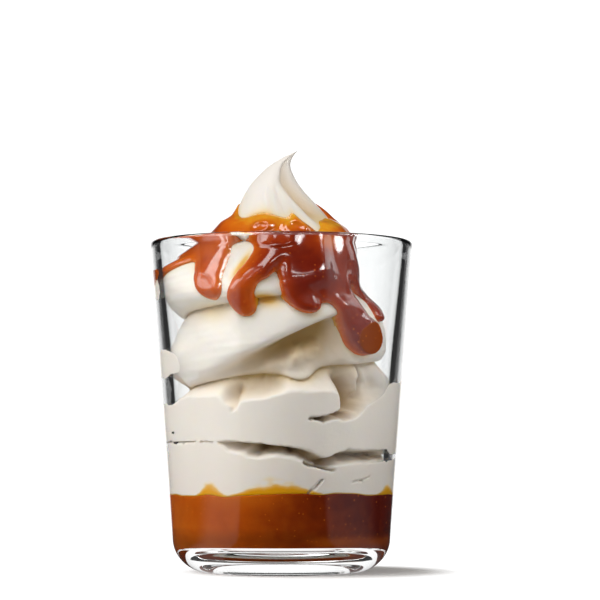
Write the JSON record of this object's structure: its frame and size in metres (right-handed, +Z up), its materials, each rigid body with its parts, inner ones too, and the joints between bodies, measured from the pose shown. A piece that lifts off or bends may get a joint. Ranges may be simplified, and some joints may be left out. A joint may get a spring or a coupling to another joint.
{
  "type": "caramel sundae",
  "caption": "Soft swirl of cream on a caramel pool in a clear glass tumbler, drawn up into a hooked peak and coated with thick caramel that runs down in drips.",
  "frame": {"origin": "middle of the tumbler's foot, on the surface that it stands on", "axes": "+Z up along the tumbler's axis; -Y is the front; the peak's tip hooks towards +X"},
  "size_m": [0.084, 0.084, 0.1349],
  "materials": {
    "glass": "clear polished glass, thick foot",
    "caramel_pool": "stands in for caramel sauce lying against glass: brown, translucent, with small bubbles",
    "cream": "stands in for soft cream ice: smooth, satin, slightly translucent",
    "caramel_topping": "stands in for thick caramel sauce: wet gloss, translucent, orange where thin and red-brown where thick"
  },
  "bodies": {
    "root": {"glass_tumbler": "glass", "caramel_pool": "caramel_pool", "cream_swirl": "cream", "caramel_topping": "caramel_topping"}
  },
  "joints": []
}
